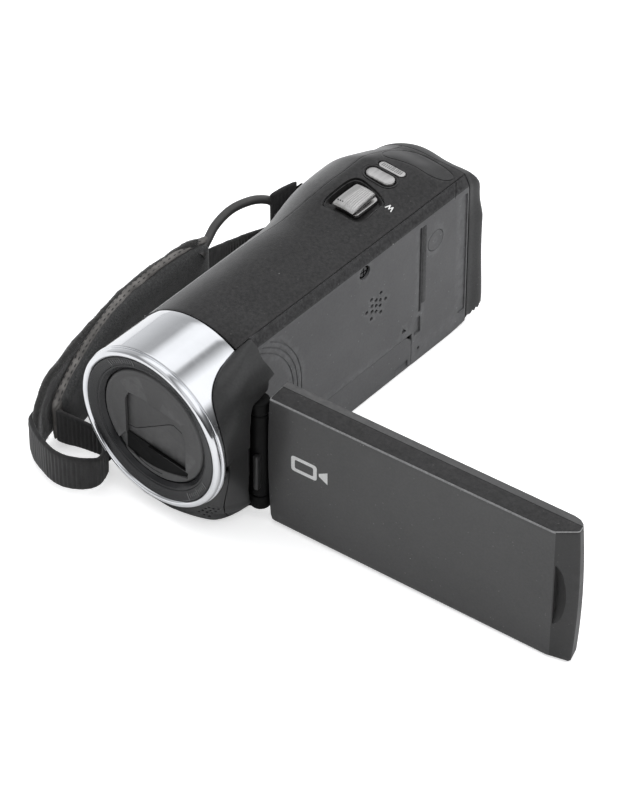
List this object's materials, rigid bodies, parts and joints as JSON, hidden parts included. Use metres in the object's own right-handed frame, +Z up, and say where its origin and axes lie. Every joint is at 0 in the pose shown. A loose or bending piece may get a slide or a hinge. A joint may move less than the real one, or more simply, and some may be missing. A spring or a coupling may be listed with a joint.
{
  "type": "camcorder",
  "caption": "Small hand-held camcorder with a polished lens sleeve, a fold-out side screen on a two-axis hinge, top zoom and photo controls, and a soft hand strap.",
  "frame": {"origin": "middle of the flat underside, below the lens axis, 64 mm behind the front of the lens", "axes": "+Z up, -Y the way the lens looks, +X towards the side that the screen folds out from"},
  "size_m": [0.1721, 0.1396, 0.0609],
  "materials": {
    "cover_black": "fine-grained matte black moulding",
    "wall_grey": "smooth satin dark grey moulding",
    "panel_black": "satin black moulding",
    "gloss_black": "polished black plastic",
    "chrome": "mirror-polished plating",
    "silver": "brushed silver finish on plastic",
    "steel": "plain steel",
    "screen_glass": "dark clear display window",
    "lens_glass": "coated optical glass",
    "board_green": "solder-masked circuit board",
    "battery_grey": "matte dark grey moulding",
    "lamp_amber": "translucent amber",
    "webbing_black": "ribbed woven webbing",
    "pad_black": "soft brushed fabric over foam",
    "cable_rubber": "smooth black cable jacket"
  },
  "bodies": {
    "housing": {"top_cover": "cover_black", "grip_cover": "cover_black", "base_cover": "cover_black", "left_side_cover": "wall_grey", "front_side_cover": "cover_black", "front_lower_cover": "cover_black", "rear_cap": "panel_black", "chrome_sleeve": "chrome", "lens_ring": "gloss_black", "barrier_plate": "panel_black", "lens_barrel": "panel_black", "front_lens": "lens_glass", "rear_lens": "lens_glass", "image_sensor": "gloss_black", "sensor_board": "board_green", "zoom_well": "cover_black", "photo_label_plate": "silver", "charge_lamp": "lamp_amber", "side_screw": "steel", "base_screw_1": "steel", "base_screw_2": "steel", "chassis": "steel", "tripod_socket": "steel", "main_board": "board_green", "card_holder": "steel", "memory_card": "gloss_black", "hdmi_socket": "steel", "usb_socket": "steel", "speaker": "gloss_black", "microphone": "gloss_black", "battery_holder": "panel_black", "battery": "battery_grey", "hinge_bracket": "steel", "hinge_pin": "steel", "strap_anchor_front": "steel", "strap_anchor_rear": "steel", "strap_pad": "pad_black", "strap_flap": "pad_black", "strap_webbing_front": "webbing_black", "strap_webbing_rear": "webbing_black", "cable_tab": "webbing_black", "usb_cable": "cable_rubber"},
    "screen_swing": {"swing_block": "panel_black"},
    "screen": {"lcd_cover": "panel_black", "lcd_bezel": "panel_black", "lcd_screen": "screen_glass", "lcd_board": "board_green", "lcd_module": "battery_grey", "tilt_shaft": "steel"},
    "joystick": {"joystick": "panel_black"},
    "zoom_lever": {"zoom_lever": "silver"},
    "photo_button": {"photo_button": "silver"},
    "start_stop_button": {"start_stop_button": "silver"},
    "power_button": {"power_button": "wall_grey"},
    "view_button": {"view_button": "wall_grey"},
    "jack_cover": {"jack_cover": "wall_grey"},
    "battery_cover": {"battery_cover": "panel_black"},
    "barrier_upper": {"barrier_blade_upper": "panel_black"},
    "barrier_lower": {"barrier_blade_lower": "panel_black"}
  },
  "joints": [
    {"name": "lcd_swing", "type": "hinge", "parent": "housing", "child": "screen_swing", "pos_m": [0.0243, -0.0446, 0.0245], "axis": [0, 0, 1], "range_deg": [-5.8, 84.2]},
    {"name": "lcd_tilt", "type": "hinge", "parent": "screen_swing", "child": "screen", "pos_m": [0.02399, -0.04152, 0.0243], "axis": [0.9949, 0.1011, 0], "range_deg": [-90, 180]},
    {"name": "joystick_press", "type": "slide", "parent": "screen", "child": "joystick", "axis": [0.1011, -0.9949, 0], "range_m": [0, 0.0004]},
    {"name": "zoom_rock", "type": "hinge", "parent": "housing", "child": "zoom_lever", "pos_m": [-0.0006, 0.0205, 0.058], "axis": [0, 0, 1], "range_deg": [-7, 7]},
    {"name": "photo_press", "type": "slide", "parent": "housing", "child": "photo_button", "axis": [0, 0, -1], "range_m": [0, 0.0006]},
    {"name": "start_stop_press", "type": "slide", "parent": "housing", "child": "start_stop_button", "axis": [0, -1, 0], "range_m": [0, 0.0008]},
    {"name": "power_press", "type": "slide", "parent": "housing", "child": "power_button", "axis": [-1, 0, 0], "range_m": [0, 0.0005]},
    {"name": "view_press", "type": "slide", "parent": "housing", "child": "view_button", "axis": [-1, 0, 0], "range_m": [0, 0.0005]},
    {"name": "jack_cover_hinge", "type": "hinge", "parent": "housing", "child": "jack_cover", "pos_m": [0.0159, 0.001, 0.0008], "axis": [0, -1, 0], "range_deg": [-90, 0]},
    {"name": "battery_cover_hinge", "type": "hinge", "parent": "housing", "child": "battery_cover", "pos_m": [-0.0121, 0.0637, 0.0134], "axis": [-1, 0, 0], "range_deg": [0, 95]},
    {"name": "barrier_open", "type": "slide", "parent": "housing", "child": "barrier_upper", "axis": [0, 0, 1], "range_m": [0, 0.008]},
    {"name": "barrier_open_lower", "type": "slide", "parent": "housing", "child": "barrier_lower", "axis": [0, 0, -1], "range_m": [0, 0.008]}
  ],
  "couplings": [
    {"joint": "barrier_open_lower", "follows": "barrier_open", "ratio": 1}
  ]
}
